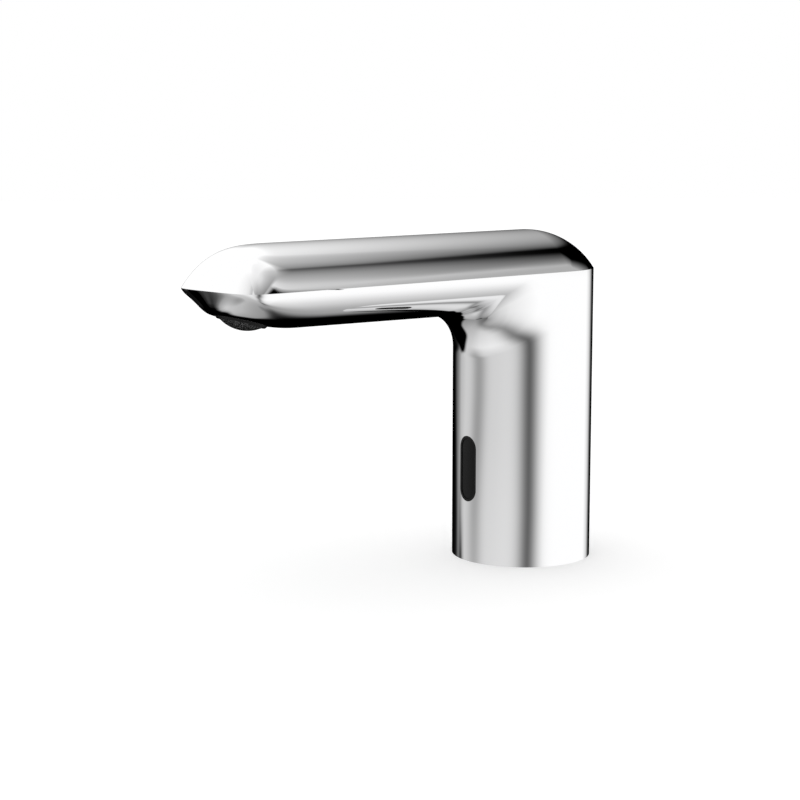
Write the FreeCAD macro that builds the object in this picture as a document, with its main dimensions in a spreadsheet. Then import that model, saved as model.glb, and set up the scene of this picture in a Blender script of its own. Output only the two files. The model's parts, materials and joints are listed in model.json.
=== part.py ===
import FreeCAD, Part
import Sketcher
import math
import os

Vector = FreeCAD.Vector
Rotation = FreeCAD.Rotation

# Deck-mounted sensor tap with a one-piece spout.  +Z is up, the spout points to -Y and the
# origin is the centre of the base face, on the axis of the column.

# ----------------------------------------------------------------------------- driving sizes
SIZES = {
    # outer shape of the casting
    "column_radius": 26.0,      # round column, and half the width of the spout
    "crease_height": 107.3,     # the sharp line round the casting, at the column axis
    "crease_fall": 1.47,        # degrees that line drops towards the front
    "dome_rise": 14.6,          # top of the dome above the crease
    "belly_depth": 15.3,        # underside of the spout below the crease, at the column axis
    "belly_fall": 0.74,         # degrees the underside drops towards the front
    "spout_reach": 133.2,       # column axis to the foremost point
    "nose_length": 33.0,        # length over which the dome rounds down to the front
    "nose_power": 6.0,          # how late the nose turns down
    "corner_power": 1.7,        # how square the front corners are
    "lip_drop": 9.5,            # height of the front face under the crease
    "lip_setback": 1.5,         # how far the lower lip stands back
    "lip_length": 45.0,         # length of the half-ellipse that the lip follows
    "inner_fillet": 16.0,       # round between column and underside
    "belly_shoulder": 0.3,      # flat band between the crease and the rounded belly
    "side_overlap": 0.03,       # the belly cutter stands this far past the flat sides
    # hollow of the casting
    "column_wall": 3.4,
    "roof_thickness": 13.4,     # top of the column's hollow below the top of the dome
    "spout_wall": 4.5,          # side wall of the spout
    "spout_skin": 3.95,         # mean wall above and below the spout's hollow
    "nose_solid": 29.2,         # solid metal ahead of the spout's hollow
    "lug_radius": 3.9,
    "lug_height": 10.0,
    "lug_inset": 3.55,          # centre of a lug inside the column's inner wall
    "lug_angle": 30.0,          # degrees from the X axis
    # sensor window and what is behind it
    "window_height": 34.6,
    "window_half_width": 4.5,
    "window_half_length": 12.1,
    "window_rim": 0.8,
    "lens_thickness": 1.7,
    "housing_half_width": 9.5,
    "housing_half_length": 14.0,
    "housing_inset": 3.1,       # front of the housing inside the column's inner wall
    "housing_depth": 11.5,
    "housing_wall": 1.4,
    "eye_spacing": 10.4,
    "eye_radius": 2.5,
    "board_thickness": 1.6,
    "board_screw_offset": 10.2,
    "board_screw_radius": 1.0,
    "board_screw_length": 5.0,
    "board_head_radius": 1.9,
    "board_head_height": 1.1,
    "chip_half_width": 3.5,
    "chip_low": 3.0,            # below the middle of the window
    "chip_high": 4.0,
    "chip_thickness": 1.1,
    "connector_half_width": 5.0,
    "connector_low": 7.9,
    "connector_height": 3.5,
    "connector_thickness": 1.3,
    "board_depth": 8.5,         # front of the board behind the front of the housing
    "bracket_thickness": 1.2,
    "bracket_screw_radius": 1.5,
    "bracket_screw_length": 4.2,
    "bracket_head_radius": 2.6,
    "bracket_head_height": 1.8,
    # two lithium cells
    "cell_radius": 8.5,
    "cell_length": 34.5,
    "button_radius": 3.2,
    "button_height": 1.0,
    "cell_gap": 0.3,            # half the space between the two cells
    "cell_clearance": 0.4,      # between a cell and the edge of its holder
    "contact_thickness": 0.3,
    "contact_radius": 5.0,
    "link_overlap": 4.0,        # strip that joins the cells, past the axis of each
    "link_half_width": 3.0,
    "holder_thickness": 1.5,
    "holder_clearance": 0.7,    # between the holder and the water tube
    # base
    "gasket_thickness": 1.5,
    "insert_thickness": 10.5,
    "stud_radius": 4.0,
    "stud_x": 8.5,
    "stud_y": 5.0,
    "stud_depth": 9.0,
    "inlet_radius": 5.0,
    "base_screw_radius": 2.0,
    "base_screw_grip": 7.0,
    "base_screw_reach": 5.0,    # length of a screw in its lug
    "base_head_radius": 3.5,
    "base_head_height": 2.8,
    "base_key_radius": 1.5,
    "base_key_depth": 1.6,
    # valve stack
    "valve_inset": 10.6,        # axis of the valve inside the column's inner wall
    "valve_radius": 8.0,
    "valve_bore": 6.2,
    "spigot_radius": 7.0,
    "spigot_length": 4.0,
    "valve_top": 41.0,
    "port_drop": 6.5,           # water port below the top of the valve
    "port_radius": 2.0,
    "seat_radius": 3.3,
    "strainer_length": 7.0,
    "check_length": 11.0,
    "check_lift": 1.8,
    "diaphragm_thickness": 1.2,
    "diaphragm_lift": 0.8,
    "poppet_stand": 0.2,        # top of the poppet above the diaphragm
    "poppet_room": 0.4,         # space that is left above the lifted poppet
    "plunger_radius": 3.2,
    "plunger_length": 14.0,
    "plunger_lift": 1.2,
    "armature_height": 24.0,
    "armature_wall": 0.8,
    "nut_radius": 9.3,
    "coil_radius": 8.5,
    "coil_length": 17.5,
    "clip_radius": 7.2,
    "clip_thickness": 1.0,
    "spring_wire": 0.25,
    # water tube to the outlet
    "tube_radius": 3.0,
    "tube_bore": 2.2,
    "tube_offset": 13.0,        # upright tube in front of the valve's axis
    "tube_drop": 2.5,           # forward tube below the crease at the column axis
    "tube_bend": 14.0,
    "tube_grip": 4.5,           # length of tube held in the nose
    "tube_end_room": 2.0,
    "seal_radius": 0.65,
    # outlet
    "outlet_setback": 12.2,     # centre of the outlet behind the foremost point
    "outlet_drop": 13.7,        # centre of the outlet below the crease at the column axis
    "outlet_tilt": 15.3,
    "outlet_recess_radius": 9.05,
    "outlet_recess_depth": 2.0,
    "outlet_thread_radius": 8.2,
    "outlet_thread_depth": 10.5,
    "plenum_radius": 6.0,
    "plenum_depth": 4.5,
    "aerator_length": 9.0,
    "aerator_stand_out": 0.6,
    "aerator_clearance": 0.35,  # between the aerator's flange and the recess
    "aerator_rim": 0.9,         # width of the rim round the grid
    "aerator_edge": 0.5,        # bevel on the outside of that rim
    "aerator_seat": 7.0,        # radius of the pocket for the flow regulator
    "aerator_ledge": 6.2,       # bore of the ledge that it lies on
    "ledge_thickness": 1.0,
    "regulator_height": 3.0,    # depth of that pocket
    "grid_bulge": 2.3,
    "grid_thickness": 1.4,
    "grid_hole_radius": 0.55,
    "grid_pitch": 1.6,
    "grid_margin": 1.0,         # closed edge of the grid
    # fits
    "running_fit": 0.1,         # radial clearance of turning and sliding fits
    "thread_fit": 0.1,          # radial clearance of screwed and slipped-in pieces
    "seat_gap": 0.1,            # clearance of a piece laid in its pocket
}

doc = FreeCAD.newDocument("sensor_tap")
sheet = doc.addObject("Spreadsheet::Sheet", "sizes")
for row, (alias, value) in enumerate(SIZES.items(), start=1):
    sheet.set("A%d" % row, alias)
    sheet.set("B%d" % row, str(value))
    sheet.setAlias("B%d" % row, alias)
doc.recompute()


class Dim:
    """A length that knows its value in mm and the expression that gives it."""

    def __init__(self, value, text):
        self.value = value
        self.text = text

    def combine(self, other, sign, swap=False):
        other = dim(other)
        left, right = (other, self) if swap else (self, other)
        results = {"+": left.value + right.value, "-": left.value - right.value,
                   "*": left.value * right.value}
        result = left.value / right.value if sign == "/" else results[sign]
        return Dim(result, "(%s %s %s)" % (left.text, sign, right.text))

    def __add__(self, other):
        return self.combine(other, "+")

    def __radd__(self, other):
        return self.combine(other, "+", swap=True)

    def __sub__(self, other):
        return self.combine(other, "-")

    def __rsub__(self, other):
        return self.combine(other, "-", swap=True)

    def __mul__(self, other):
        return self.combine(other, "*")

    def __rmul__(self, other):
        return self.combine(other, "*", swap=True)

    def __truediv__(self, other):
        return self.combine(other, "/")

    def __neg__(self):
        return self.combine(0.0, "-", swap=True)


def dim(value):
    return value if isinstance(value, Dim) else Dim(float(value), "%.6f" % value)


def size(alias):
    return Dim(float(sheet.get(alias)), "sizes." + alias)


def function(name, value):
    """sin, cos (of degrees) or sqrt of a value, still bound to the sheet."""
    result = math.sqrt(value.value) if name == "sqrt" else getattr(math, name)(
        math.radians(value.value))
    unit = "" if name == "sqrt" else " * 1 deg"
    return Dim(result, "%s((%s)%s)" % (name, value.text, unit))


# --------------------------------------------------------------------------------- helpers
def bind(obj, prop, length):
    length = dim(length)
    obj.setExpression(prop, length.text)


def place(obj, base=(0, 0, 0), rotation=None, tilt=None):
    """Put an object at base; rotation is fixed, tilt is a bound angle in degrees about X."""
    if rotation is not None:
        obj.Placement = FreeCAD.Placement(Vector(0, 0, 0), rotation)
    if tilt is not None:
        obj.Placement = FreeCAD.Placement(Vector(0, 0, 0), Rotation(Vector(1, 0, 0), tilt.value))
        bind(obj, "Placement.Rotation.Angle", tilt)
    for axis, length in zip("xyz", base):
        bind(obj, "Placement.Base." + axis, length)
    return obj


ALONG_Y = Rotation(Vector(1, 0, 0), -90)        # local z becomes +Y
ALONG_MINUS_Y = Rotation(Vector(1, 0, 0), 90)   # local z becomes -Y


def cylinder(name, radius, length, base=(0, 0, 0), rotation=None):
    obj = doc.addObject("Part::Cylinder", name)
    bind(obj, "Radius", radius)
    bind(obj, "Height", length)
    return place(obj, base, rotation)


def cone(name, radius_1, radius_2, length, base=(0, 0, 0), rotation=None):
    obj = doc.addObject("Part::Cone", name)
    bind(obj, "Radius1", radius_1)
    bind(obj, "Radius2", radius_2)
    bind(obj, "Height", length)
    return place(obj, base, rotation)


def torus(name, ring_radius, wire_radius, base=(0, 0, 0), rotation=None):
    obj = doc.addObject("Part::Torus", name)
    bind(obj, "Radius1", ring_radius)
    bind(obj, "Radius2", wire_radius)
    return place(obj, base, rotation)


def box(name, x_range, y_range, z_range):
    obj = doc.addObject("Part::Box", name)
    for prop, (low, high) in zip(("Length", "Width", "Height"), (x_range, y_range, z_range)):
        bind(obj, prop, dim(high) - low)
    return place(obj, (x_range[0], y_range[0], z_range[0]))


def fuse(name, shapes):
    obj = doc.addObject("Part::MultiFuse", name)
    obj.Shapes = shapes
    return obj


def cut(name, base, tools):
    obj = doc.addObject("Part::Cut", name)
    obj.Base = base
    obj.Tool = tools[0] if len(tools) == 1 else fuse(name + "_cutters", tools)
    return obj


def common(name, first, second):
    obj = doc.addObject("Part::Common", name)
    obj.Base = first
    obj.Tool = second
    return obj


def group(name, shapes):
    obj = doc.addObject("Part::Compound", name)
    obj.Links = shapes
    return obj


def stadium(name, half_width, half_length, y_range, centre_z):
    """A slot shape along Y: straight sides with round ends above and below."""
    low, high = y_range
    reach = half_length - half_width
    middle = box(name + "_middle", (-half_width, half_width), y_range,
                 (centre_z - reach, centre_z + reach))
    ends = [cylinder("%s_end_%d" % (name, index), half_width, high - low,
                     (0, low, centre_z + sign * reach), ALONG_Y)
            for index, sign in enumerate((-1, 1))]
    return fuse(name, [middle] + ends)


def origin_plane(body, role):
    return [item for item in body.Origin.OriginFeatures if item.Role == role][0]


def turned(name, profile, base=(0, 0, 0), tilt=None):
    """A turned piece: the (radius, height) outline is revolved about its own Z axis."""
    body = doc.addObject("PartDesign::Body", name)
    sketch = body.newObject("Sketcher::SketchObject", name + "_outline")
    sketch.AttachmentSupport = (origin_plane(body, "XZ_Plane"), [""])
    sketch.MapMode = "FlatFace"
    points = [(dim(radius), dim(height)) for radius, height in profile]
    count = len(points)
    for index in range(count):
        start, end = points[index], points[(index + 1) % count]
        sketch.addGeometry(Part.LineSegment(Vector(start[0].value, start[1].value, 0),
                                            Vector(end[0].value, end[1].value, 0)), False)
    for index, (radius, height) in enumerate(points):
        sketch.addConstraint(Sketcher.Constraint("Coincident", index, 2, (index + 1) % count, 1))
        for kind, length in (("DistanceX", radius), ("DistanceY", height)):
            where = sketch.addConstraint(
                Sketcher.Constraint(kind, -1, 1, index, 1, length.value))
            sketch.setExpression("Constraints[%d]" % where, length.text)
    turn = body.newObject("PartDesign::Revolution", name + "_turn")
    turn.Profile = sketch
    turn.ReferenceAxis = (sketch, ["V_Axis"])
    turn.Angle = 360
    return place(body, base, tilt=tilt)


def spring(name, radius, wire, length, turns, base):
    """A coil spring standing on base, made by sweeping a round wire along a helix."""
    helix = doc.addObject("Part::Helix", name + "_helix")
    bind(helix, "Radius", radius)
    bind(helix, "Height", length - 2 * wire)
    bind(helix, "Pitch", (length - 2 * wire) / turns)
    round_wire = doc.addObject("Part::Circle", name + "_wire")
    bind(round_wire, "Radius", wire)
    place(round_wire, (radius, 0, 0), ALONG_MINUS_Y)
    coil = doc.addObject("Part::Sweep", name)
    coil.Sections = [round_wire]
    coil.Spine = (helix, ["Edge1"])
    coil.Solid = True
    coil.Frenet = True
    return place(coil, base)


# --------------------------------------------------------------------- casting: outer surface
def steps(first, last, count):
    return [first + (last - first) * index / (count - 1) for index in range(count)]


class Skin:
    """The formulas of the outer surface, all worked out from the sheet."""

    def __init__(self):
        self.radius = size("column_radius").value
        self.height = size("crease_height").value
        self.fall = math.tan(math.radians(size("crease_fall").value))
        self.rise = size("dome_rise").value
        self.depth = size("belly_depth").value
        self.belly_fall = math.tan(math.radians(size("belly_fall").value))
        self.reach = size("spout_reach").value
        self.nose = size("nose_length").value
        self.nose_power = size("nose_power").value
        self.corner_power = size("corner_power").value
        self.fillet = size("inner_fillet").value
        self.shoulder = size("belly_shoulder").value
        self.overlap = size("side_overlap").value
        self.arch = (self.radius ** 2 + self.rise ** 2) / (2 * self.rise)
        self.margin = 1.08 * self.radius
        self.above = self.height + 2 * self.rise

    def crease(self, y):
        return self.height + self.fall * y

    def side_share(self, offset):
        """0 on the ridge, 1 at the crease: a circular arch, carried on straight past the side."""
        inside = min(abs(offset), self.margin)
        drop = math.sqrt(self.arch ** 2 - inside ** 2)
        height = drop - (self.arch - self.rise) - (abs(offset) - inside) * inside / drop
        return max(0.0, 1 - height / self.rise)

    def top(self, x, y):
        if y > 0:
            share = self.side_share(math.hypot(x, y))
        else:
            along = max(0.0, (-y - self.reach + self.nose) / self.nose)
            power = self.corner_power
            share = (self.side_share(x) ** power
                     + along ** (self.nose_power * power)) ** (1 / power)
        return self.crease(y) + self.rise * (1 - share)

    def front_outline(self, count):
        """Half the plan of the crease round the front, from the side to the tip."""
        outline = []
        for angle in steps(0, math.pi / 2, count):
            side = math.cos(angle) ** (2 / self.corner_power)
            front = math.sin(angle) ** (2 / self.corner_power)
            arch_height = self.rise * (1 - side) + self.arch - self.rise
            x = math.sqrt(max(self.arch ** 2 - arch_height ** 2, 0.0))
            y = self.nose - self.reach - self.nose * front ** (1 / self.nose_power)
            outline.append((x, y))
        return outline

    def lip_outline(self, count):
        """Half the plan of the lower lip: a half-ellipse round the outlet."""
        front = self.reach - size("lip_setback").value
        length = size("lip_length").value
        return [(self.radius * math.cos(angle), length - front - length * math.sin(angle))
                for angle in steps(0, math.pi / 2, count)]

    def hollow_line(self, angle):
        """The column face, the inner round and the underside, in one plane of constant x."""
        across = math.cos(angle)
        x = (self.radius + self.overlap) * math.sin(angle)
        face = -self.radius * across
        level = self.height - self.shoulder
        slope = self.fall - (self.fall - self.belly_fall) * across
        start = level - (self.depth - self.shoulder) * across
        centre_y = face - self.fillet
        centre_z = start + slope * centre_y - self.fillet * math.sqrt(1 + slope ** 2)
        points = [Vector(x, face, z) for z in steps(-2, centre_z, 13)[:-1]]
        for turn in steps(0, math.pi / 2 + math.atan(slope), 17):
            points.append(Vector(x, centre_y + self.fillet * math.cos(turn),
                                 centre_z + self.fillet * math.sin(turn)))
        for y in steps(points[-1].y, -self.reach - self.fillet, 17)[1:]:
            points.append(Vector(x, y, start + slope * y))
        return points


def surface_face(grid):
    surface = Part.BSplineSurface()
    surface.interpolate(grid)
    return surface.toShape()


def plan_wire(skin, half, z):
    """A closed plan: the given front outline, straight sides and the round back."""
    points = [Vector(x, y, z) for x, y in half]
    points += [Vector(-x, y, z) for x, y in half[-2::-1]]
    front = Part.BSplineCurve()
    front.interpolate(points)
    left, right = Vector(-skin.radius, 0, z), Vector(skin.radius, 0, z)
    back = Part.Arc(left, Vector(0, skin.radius, z), right)
    return Part.Wire([front.toShape(), Part.makeLine(points[-1], left), back.toShape(),
                      Part.makeLine(right, points[0])])


def casting_skin():
    """The solid outer form of the casting, without its hollow."""
    skin = Skin()
    columns = 33
    tail = steps(skin.margin, skin.nose - skin.reach, 41)
    nose = steps(skin.nose - skin.reach, -skin.reach - 0.1 * skin.nose, 41)[1:]
    top_grid = [[Vector(x, y, skin.top(x, y)) for x in steps(-skin.margin, skin.margin, columns)]
                for y in tail + nose]
    above_dome = surface_face(top_grid).extrude(Vector(0, 0, 3 * skin.height))
    hollow_grid = [skin.hollow_line(angle) for angle in steps(-math.pi / 2, math.pi / 2, 37)]
    under_spout = surface_face(hollow_grid).extrude(
        Vector(0, -2 * skin.reach, -2 * skin.reach))
    front_level = skin.crease(-skin.reach)
    lip_level = front_level - size("lip_drop").value
    root_level = lip_level - 2 * skin.depth
    count = 25
    crease_plan = skin.front_outline(count)
    lip_plan = skin.lip_outline(count)
    spout = Part.makeLoft([plan_wire(skin, lip_plan, root_level),
                           plan_wire(skin, lip_plan, lip_level),
                           plan_wire(skin, crease_plan, front_level),
                           plan_wire(skin, crease_plan, skin.above)], True, True)
    foot_plan = [(skin.radius, -2 * skin.radius), (0, -2 * skin.radius)]
    foot = Part.Face(plan_wire(skin, foot_plan, 0)).extrude(Vector(0, 0, root_level))
    solid = spout.fuse(foot).cut(under_spout).cut(above_dome)
    tilt = size("outlet_tilt").value
    reach = 2 * skin.reach
    below = Part.makeBox(reach, reach, reach, Vector(-reach / 2, -reach / 2, -reach))
    below.rotate(Vector(0, 0, 0), Vector(1, 0, 0), -tilt)
    below.translate(Vector(*[dim(length).value for length in outlet_base]))
    keep_foot = Part.makeBox(reach, reach, reach,
                             Vector(-reach / 2, -skin.reach + skin.nose, -reach / 2))
    solid = solid.cut(below.cut(keep_foot))
    return max(solid.Solids, key=lambda piece: piece.Volume)


def part_feature(name, shape):
    obj = doc.addObject("Part::Feature", name)
    obj.Shape = shape
    return obj


# ---------------------------------------------------------------------------------- levels
gap = size("seat_gap")
fit = size("running_fit")
slip = size("thread_fit")
cavity_radius = size("column_radius") - size("column_wall")
cavity_top = size("crease_height") + size("dome_rise") - size("roof_thickness")
inner_reach = cavity_radius - 4 * gap
spout_end = size("spout_reach") - size("nose_solid")
window_z = size("window_height")
insert_bottom = size("gasket_thickness")
insert_top = insert_bottom + size("insert_thickness")
lug_bottom = insert_top
lug_top = lug_bottom + size("lug_height")
housing_low = window_z - size("housing_half_length")
housing_high = window_z + size("housing_half_length")
lug_reach = cavity_radius - size("lug_inset")
lug_places = [(sign_x * lug_reach * function("cos", size("lug_angle")),
               sign_y * lug_reach * function("sin", size("lug_angle")))
              for sign_x in (-1, 1) for sign_y in (-1, 1)]
front_lugs = lug_places[::2]
shelf_low = housing_high + gap
shelf_high = shelf_low + size("bracket_thickness")
holder_top_of_floor = shelf_high + size("holder_thickness")
cell_low = holder_top_of_floor + size("contact_thickness")
cell_high = cell_low + size("cell_length")
roof_low = cell_high + size("contact_thickness")
housing_front = size("housing_inset") - cavity_radius
housing_back = housing_front + size("housing_depth")
board_front = housing_front + size("board_depth")
board_back = board_front + size("board_thickness")
valve_y = cavity_radius - size("valve_inset")
tube_y = valve_y - size("tube_offset")
tube_z = size("crease_height") - size("tube_drop")
tube_end = spout_end + size("tube_grip")
cell_x = size("cell_radius") + size("cell_gap")
cell_reach = inner_reach - size("cell_clearance") - size("cell_radius")
cell_y = -function("sqrt", cell_reach * cell_reach - cell_x * cell_x)
holder_back = tube_y - size("tube_radius") - size("holder_clearance")
valve_low = insert_top - size("spigot_length")
flange_low = size("valve_top") + size("diaphragm_thickness")
flange_high = flange_low + 2.0
armature_top = flange_low + size("armature_height")
port_height = size("valve_top") - size("port_drop")
outlet_y = size("outlet_setback") - size("spout_reach")
outlet_base = (0, outlet_y, size("crease_height") - size("outlet_drop"))
outlet_tilt = -size("outlet_tilt")


# ----------------------------------------------------------------------------- the casting
def make_body_casting():
    skin = part_feature("casting_skin", casting_skin())
    cavity = cylinder("column_cavity", cavity_radius, cavity_top + 1, (0, 0, -1))
    lugs = [cylinder("lug_%d" % index, size("lug_radius"), size("lug_height"), (x, y, lug_bottom))
            for index, (x, y) in enumerate(lug_places)]
    webs = [box("lug_web_%d" % index,
                (x - size("lug_radius") if x.value < 0 else x,
                 x if x.value < 0 else x + size("lug_radius")),
                (y - size("lug_radius"), y + size("lug_radius")), (lug_bottom, lug_top))
            for index, (x, y) in enumerate(lug_places)]
    hollow_column = cut("hollow_column", cavity, lugs + webs)
    oval = doc.addObject("Part::Ellipse", "spout_cavity_outline")
    rise, depth = size("dome_rise"), size("belly_depth")
    bind(oval, "MajorRadius", size("column_radius") - size("spout_wall"))
    bind(oval, "MinorRadius", (rise + depth) / 2 - size("spout_skin"))
    place(oval, (0, 0, size("crease_height") + (rise - depth) / 2), ALONG_MINUS_Y)
    hollow_spout = doc.addObject("Part::Extrusion", "hollow_spout")
    hollow_spout.Base = oval
    hollow_spout.DirMode = "Custom"
    fall = math.radians(size("crease_fall").value)
    hollow_spout.Dir = Vector(0, -math.cos(fall), -math.sin(fall))
    bind(hollow_spout, "LengthFwd", spout_end)
    hollow_spout.Solid = True
    lug_bores = [cylinder("lug_bore_%d" % index, size("base_screw_radius") + slip,
                          size("lug_height") + 2, (x, y, lug_bottom - 1))
                 for index, (x, y) in enumerate(lug_places)]
    slot = stadium("window_slot", size("window_half_width") + gap,
                   size("window_half_length") + gap,
                   (-size("column_radius") - 2, housing_front + 1), window_z)
    tube_socket = cylinder("tube_socket", size("tube_radius") + slip,
                           size("tube_grip") + size("tube_end_room") + 1,
                           (0, 1 - spout_end, tube_z), ALONG_MINUS_Y)
    seal_seat = cylinder("seal_seat", size("tube_radius") + 2 * size("seal_radius") + slip,
                         4 * size("seal_radius") + gap + 1, (0, 1 - spout_end, tube_z), ALONG_MINUS_Y)
    crossing = cylinder("water_crossing", size("tube_bore"),
                        -outlet_y - size("plenum_radius") - tube_end,
                        (0, -tube_end, tube_z), ALONG_MINUS_Y)
    recess = cylinder("outlet_recess", size("outlet_recess_radius"),
                      size("outlet_recess_depth") + 4, (0, 0, -4))
    thread = cylinder("outlet_thread", size("outlet_thread_radius"),
                      size("outlet_thread_depth") + 4, (0, 0, -4))
    plenum = cylinder("plenum", size("plenum_radius"),
                      size("outlet_thread_depth") + size("plenum_depth"), (0, 0, 0))
    outlet = place(fuse("outlet_bores", [recess, thread, plenum]), outlet_base, tilt=outlet_tilt)
    return cut("body_casting", skin, [hollow_column, hollow_spout, slot, tube_socket, seal_seat,
                                      crossing, outlet] + lug_bores)


# ----------------------------------------------------------------------- sensor behind glass
def trimmed_to_cylinder(name, shape, radius):
    bar = cylinder(name + "_trim", radius, size("crease_height"))
    return common(name, shape, bar)


def eye_places():
    half = size("eye_spacing") / 2
    return [window_z - half, window_z + half]


def make_sensor_housing():
    front, back = housing_front, housing_back
    half_width = size("housing_half_width")
    shell = box("housing_box", (-half_width, half_width), (front, back),
                (housing_low, housing_high))
    nose = trimmed_to_cylinder(
        "housing_nose",
        stadium("housing_nose_bar", size("window_half_width"), size("window_half_length"),
                (-size("column_radius") - 2, front + 1), window_z),
        size("column_radius") - gap / 2)
    wall = size("housing_wall")
    pocket = box("board_pocket", (wall - half_width, half_width - wall),
                 (board_front, back + 1), (housing_low + wall, housing_high - wall))
    lens_back = -size("column_radius") + size("lens_thickness") + gap
    rim = size("window_rim")
    lens_pocket = stadium("lens_pocket", size("window_half_width") - rim,
                          size("window_half_length") - rim,
                          (-size("column_radius") - 1, lens_back), window_z)
    eyes = [cylinder("eye_tunnel_%d" % index, size("eye_radius") + gap,
                     size("column_radius") + board_front,
                     (0, -size("column_radius"), z), ALONG_Y)
            for index, z in enumerate(eye_places())]
    holes = [cylinder("board_screw_hole_%d" % index, size("board_screw_radius") + slip / 2, 5.5,
                      (0, board_front - 4.5, z), ALONG_Y)
             for index, z in enumerate(board_screw_places())]
    return cut("sensor_housing", fuse("housing_solid", [shell, nose]),
               [pocket, lens_pocket] + eyes + holes)


def board_screw_places():
    offset = size("board_screw_offset")
    return [window_z - offset, window_z + offset]


def make_sensor_window():
    rim = size("window_rim") + gap
    front = -size("column_radius")
    bar = stadium("lens_bar", size("window_half_width") - rim, size("window_half_length") - rim,
                  (front - 1, front + size("lens_thickness")), window_z)
    return trimmed_to_cylinder("sensor_window", bar, size("column_radius") - 3 * gap)


def make_sensor_gasket():
    half_width = size("housing_half_width") - 2 * gap
    block = box("gasket_block", (-half_width, half_width),
                (-cavity_radius, housing_front - gap / 2),
                (housing_low + gap, housing_high - gap))
    pad = trimmed_to_cylinder("gasket_pad", block, cavity_radius - gap)
    hole = stadium("gasket_hole", size("window_half_width") + 2 * gap,
                   size("window_half_length") + 2 * gap,
                   (-size("column_radius"), housing_front + 1), window_z)
    return cut("sensor_gasket", pad, [hole])


def make_eye(name, z):
    """An infra-red lamp or detector: a short barrel with a round end, facing the window."""
    radius = size("eye_radius")
    barrel = cylinder(name + "_barrel", radius, 5.0, (0, board_front - 5.5, z), ALONG_Y)
    tip = doc.addObject("Part::Sphere", name + "_tip")
    bind(tip, "Radius", radius)
    place(tip, (0, board_front - 5.5, z))
    legs = [box("%s_leg_%d" % (name, index), (sign * 1.27 - 0.25, sign * 1.27 + 0.25),
                (board_front - 1.0, board_front), (z - 0.25, z + 0.25))
            for index, sign in enumerate((-1, 1))]
    return fuse(name, [barrel, tip] + legs)


def make_sensor_board():
    clear = size("housing_wall") + gap
    half_width = size("housing_half_width") - clear
    plate = box("board_plate", (-half_width, half_width), (board_front, board_back),
                (housing_low + clear, housing_high - clear))
    holes = [cylinder("board_hole_%d" % index, size("board_screw_radius") + slip,
                      size("board_thickness") + 2, (0, board_front - 1, z), ALONG_Y)
             for index, z in enumerate(board_screw_places())]
    return cut("sensor_board", plate, holes)


def make_board_screws():
    length = size("board_screw_length")
    screws = []
    for index, z in enumerate(board_screw_places()):
        shank = cylinder("board_screw_shank_%d" % index, size("board_screw_radius"), length,
                         (0, board_back - length, z), ALONG_Y)
        head = cylinder("board_screw_head_%d" % index, size("board_head_radius"),
                        size("board_head_height"), (0, board_back, z), ALONG_Y)
        screws.append(fuse("board_screw_%d" % index, [shank, head]))
    return group("board_screws", screws)


def make_board_part(name, half_width, z_range, thickness):
    """A component standing on the back of the board."""
    return box(name, (-half_width, half_width), (board_back, board_back + thickness),
               (window_z + z_range[0], window_z + z_range[1]))


# --------------------------------------------------------------------------- bracket, cells
def make_inner_bracket():
    back = housing_back
    thickness = size("bracket_thickness")
    inner = size("housing_half_width") + 2 * gap
    plate = box("bracket_plate", (-inner - 2, inner + 2), (back, back + thickness),
                (lug_top, shelf_high))
    feet = []
    for index, (x, y) in enumerate(front_lugs):
        outer = x - size("lug_radius") if x.value < 0 else x + size("lug_radius")
        span = (outer, -inner) if x.value < 0 else (inner, outer)
        feet.append(box("bracket_foot_%d" % index, span,
                        (y - 3.0, y + 3.0), (lug_top, lug_top + thickness)))
    shelf = box("bracket_shelf", (-cavity_radius, cavity_radius),
                (-cavity_radius, holder_back), (shelf_low, shelf_high))
    blank = common("bracket_blank", fuse("bracket_solid", [plate, shelf] + feet),
                   cylinder("bracket_trim", inner_reach, size("crease_height")))
    holes = [cylinder("bracket_hole_%d" % index, size("bracket_screw_radius") + slip,
                      thickness + 2, (x, y, lug_top - 1))
             for index, (x, y) in enumerate(front_lugs)]
    return cut("inner_bracket", blank, holes)


def make_bracket_screws():
    seat = lug_top + size("bracket_thickness")
    length = size("bracket_screw_length")
    screws = []
    for index, (x, y) in enumerate(front_lugs):
        shank = cylinder("bracket_screw_shank_%d" % index, size("bracket_screw_radius"), length,
                         (x, y, seat - length))
        head = cylinder("bracket_screw_head_%d" % index, size("bracket_head_radius"),
                        size("bracket_head_height"), (x, y, seat))
        screws.append(fuse("bracket_screw_%d" % index, [shank, head]))
    return group("bracket_screws", screws)


def make_battery_holder():
    back = holder_back
    across = cavity_radius
    thickness = size("holder_thickness")
    floor = box("holder_floor", (-across, across), (-across, back),
                (shelf_high, shelf_high + thickness))
    roof = box("holder_roof", (-across, across), (-across, back),
               (roof_low, roof_low + thickness))
    web = box("holder_web", (-3, 3), (2 - across, 5.6 - across), (shelf_high, roof_low + thickness))
    return common("battery_holder", fuse("holder_solid", [floor, roof, web]),
                  cylinder("holder_trim", inner_reach, cavity_top))


def make_cell(name, sign):
    x, y = sign * cell_x, cell_y
    radius = size("cell_radius")
    cap = size("button_height")
    can = cylinder(name + "_can", radius, size("cell_length") - cap, (x, y, cell_low))
    button = cylinder(name + "_button", size("button_radius"), cap, (x, y, cell_high - cap))
    return fuse(name, [can, button])


def make_battery_contacts():
    y = cell_y
    thin = size("contact_thickness")
    pads = [cylinder("contact_pad_%d" % index, size("contact_radius"), thin,
                     (sign * cell_x, y, holder_top_of_floor))
            for index, sign in enumerate((-1, 1))]
    reach = cell_x + size("link_overlap")
    link = box("contact_link", (-reach, reach),
               (y - size("link_half_width"), y + size("link_half_width")), (cell_high, roof_low))
    return group("battery_contacts", pads + [link])


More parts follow.
